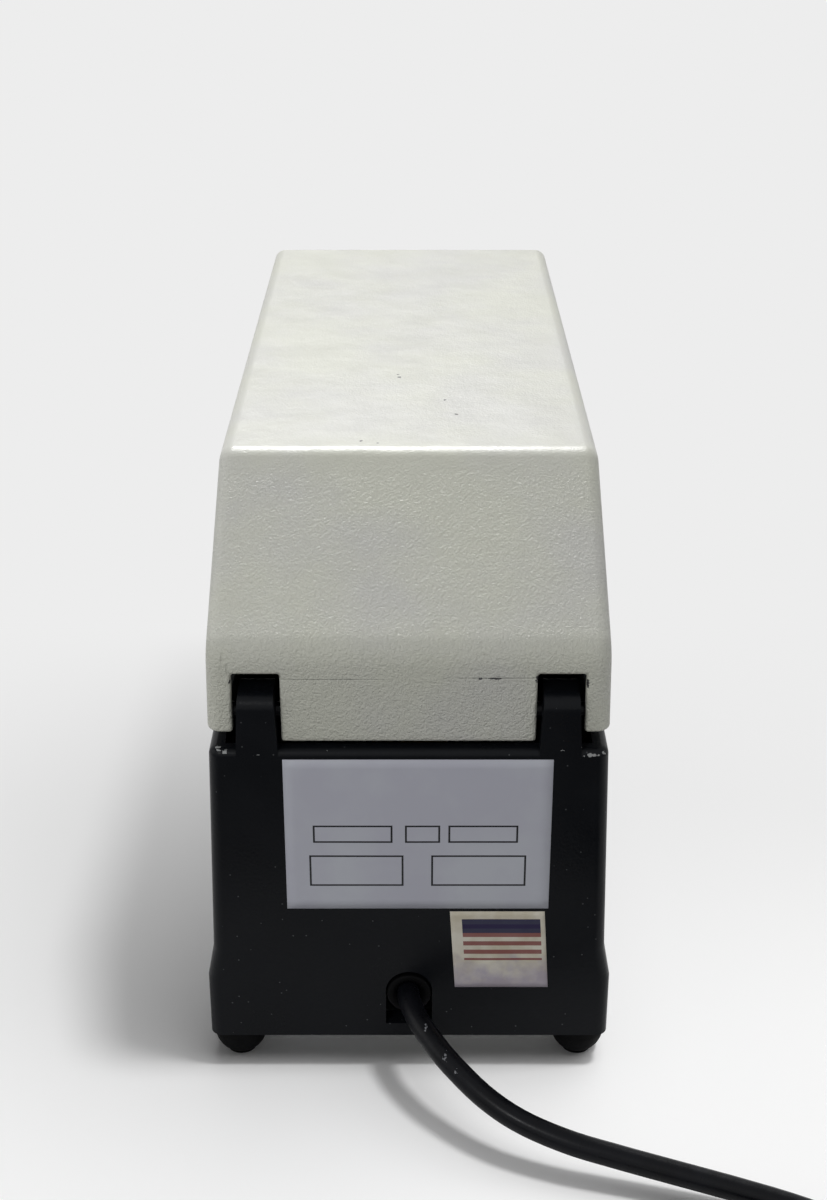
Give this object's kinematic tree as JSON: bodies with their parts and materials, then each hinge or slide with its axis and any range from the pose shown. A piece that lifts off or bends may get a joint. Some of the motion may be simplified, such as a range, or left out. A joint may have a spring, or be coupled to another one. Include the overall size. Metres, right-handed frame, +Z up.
{
  "type": "time stamp machine",
  "caption": "Desk time stamp: cast base on rubber feet, locking hinged cover, type wheels, inked ribbon, solenoid hammer, mains cord and plug.",
  "frame": {"origin": "on the desk, under the middle of the base casting", "axes": "+Z up, -Y to the front where the paper goes in, +Y to the hinge and the cord, +X to the right of a person in front"},
  "size_m": [0.2365, 0.539, 0.1995],
  "materials": {
    "black_enamel": "satin enamel",
    "cream_paint": "textured powder coat",
    "zinc_steel": "bright zinc plate",
    "dark_steel": "blackened steel",
    "type_brass": "machined",
    "black_rubber": "matte",
    "cord_rubber": "smooth, slightly glossy",
    "black_plastic": "moulded",
    "ivory_plastic": "moulded",
    "coil_tape": "varnished tape",
    "inked_fabric": "inked woven ribbon",
    "lock_chrome": "polished"
  },
  "bodies": {
    "base": {"base_casting": "black_enamel", "bottom_cover": "zinc_steel", "rubber_feet": "black_rubber", "foot_screws": "zinc_steel", "cord_grommet": "black_rubber", "cord_lead": "cord_rubber", "cord_coil": "cord_rubber", "cord_tie": "black_plastic", "plug_body": "cord_rubber", "plug_blades": "type_brass", "inner_lead": "cord_rubber", "terminal_block": "ivory_plastic", "chassis_plate": "zinc_steel", "chassis_screws": "zinc_steel", "right_side_plate": "zinc_steel", "left_side_plate": "zinc_steel", "frame_spacers": "zinc_steel", "spacer_screws": "dark_steel", "front_tie_bar": "zinc_steel", "lock_strike": "dark_steel", "cover_bumpers": "black_rubber", "paper_table": "zinc_steel", "table_screws": "zinc_steel", "paper_stop": "dark_steel", "type_shaft": "zinc_steel", "gear_stud": "zinc_steel", "synchronous_motor": "zinc_steel", "ribbon_guides": "zinc_steel", "ribbon_shield": "zinc_steel", "ribbon_strip": "inked_fabric", "spool_shafts": "zinc_steel", "hammer_pivot": "zinc_steel", "solenoid_frame": "zinc_steel", "solenoid_coil": "coil_tape", "plunger_spring": "zinc_steel", "trigger_pivot": "zinc_steel", "switch_body": "black_plastic"},
    "cover": {"cover_shell": "cream_paint", "hinge_pins": "zinc_steel", "lock_body": "lock_chrome"},
    "lock": {"lock_plug": "type_brass"},
    "minute": {"minute_wheel": "type_brass", "minute_gear": "zinc_steel"},
    "hour": {"hour_wheel": "type_brass"},
    "year": {"year_wheel": "type_brass"},
    "day": {"day_wheel": "type_brass"},
    "month": {"month_wheel": "type_brass"},
    "idler": {"idler_gear": "type_brass"},
    "pinion": {"motor_pinion": "type_brass"},
    "front_reel": {"front_spool": "black_plastic", "front_ribbon_roll": "inked_fabric", "feed_ratchet": "zinc_steel"},
    "rear_reel": {"rear_spool": "black_plastic", "rear_ribbon_roll": "inked_fabric"},
    "pawl": {"feed_pawl": "zinc_steel"},
    "hammer": {"hammer_arm": "dark_steel", "platen_pad": "black_rubber"},
    "plunger": {"plunger": "zinc_steel"},
    "trigger": {"trigger_lever": "dark_steel"},
    "button": {"switch_button": "ivory_plastic"}
  },
  "joints": [
    {"name": "cover_hinge", "type": "hinge", "parent": "base", "child": "cover", "pos_m": [0, 0.1545, 0.132], "axis": [-1, 0, 0], "range_deg": [0, 95]},
    {"name": "lock_turn", "type": "hinge", "parent": "cover", "child": "lock", "pos_m": [0, -0.155, 0.15], "axis": [0, -1, 0], "range_deg": [0, 90]},
    {"name": "minute_spin", "type": "hinge", "parent": "base", "child": "minute", "pos_m": [0, -0.1, 0.14705], "axis": [1, 0, 0], "continuous": true},
    {"name": "idler_spin", "type": "hinge", "parent": "base", "child": "idler", "pos_m": [0, -0.06912, 0.14975], "axis": [1, 0, 0], "continuous": true},
    {"name": "pinion_spin", "type": "hinge", "parent": "base", "child": "pinion", "pos_m": [0, -0.04942, 0.15323], "axis": [1, 0, 0], "continuous": true},
    {"name": "hour_spin", "type": "hinge", "parent": "base", "child": "hour", "pos_m": [0, -0.1, 0.14705], "axis": [1, 0, 0], "continuous": true},
    {"name": "day_spin", "type": "hinge", "parent": "base", "child": "day", "pos_m": [0, -0.1, 0.14705], "axis": [1, 0, 0], "continuous": true},
    {"name": "month_spin", "type": "hinge", "parent": "base", "child": "month", "pos_m": [0, -0.1, 0.14705], "axis": [1, 0, 0], "continuous": true},
    {"name": "year_spin", "type": "hinge", "parent": "base", "child": "year", "pos_m": [0, -0.1, 0.14705], "axis": [1, 0, 0], "continuous": true},
    {"name": "front_reel_spin", "type": "hinge", "parent": "base", "child": "front_reel", "pos_m": [0, -0.13, 0.17118], "axis": [-1, 0, 0], "continuous": true},
    {"name": "rear_reel_spin", "type": "hinge", "parent": "base", "child": "rear_reel", "pos_m": [0, -0.07, 0.17118], "axis": [-1, 0, 0], "continuous": true},
    {"name": "pawl_swing", "type": "hinge", "parent": "base", "child": "pawl", "pos_m": [0, -0.113, 0.16218], "axis": [1, 0, 0], "range_deg": [0, 12], "stiffness_Nm_per_rad": 0.002, "springref_deg": -11.46},
    {"name": "hammer_swing", "type": "hinge", "parent": "base", "child": "hammer", "pos_m": [0, -0.02, 0.103], "axis": [-1, 0, 0], "range_deg": [0, 6.14], "stiffness_Nm_per_rad": 2, "springref_deg": -17.19},
    {"name": "plunger_slide", "type": "slide", "parent": "base", "child": "plunger", "axis": [0, 0, -1], "range_m": [0, 0.00557], "deforming": ["plunger_spring"]},
    {"name": "trigger_swing", "type": "hinge", "parent": "base", "child": "trigger", "pos_m": [0, -0.066, 0.096], "axis": [-1, 0, 0], "range_deg": [0, 8], "stiffness_Nm_per_rad": 0.02, "springref_deg": -5.73},
    {"name": "button_slide", "type": "slide", "parent": "base", "child": "button", "axis": [0, 1, 0], "range_m": [0, 0.00168]}
  ],
  "couplings": [
    {"joint": "idler_spin", "follows": "minute_spin", "ratio": -1.5833},
    {"joint": "pinion_spin", "follows": "minute_spin", "ratio": 2.375},
    {"joint": "hour_spin", "follows": "minute_spin", "ratio": 0.041667},
    {"joint": "rear_reel_spin", "follows": "front_reel_spin", "ratio": 0.75},
    {"joint": "plunger_slide", "follows": "hammer_swing", "m_per_rad": 0.05198},
    {"joint": "button_slide", "follows": "trigger_swing", "m_per_rad": 0.012}
  ]
}
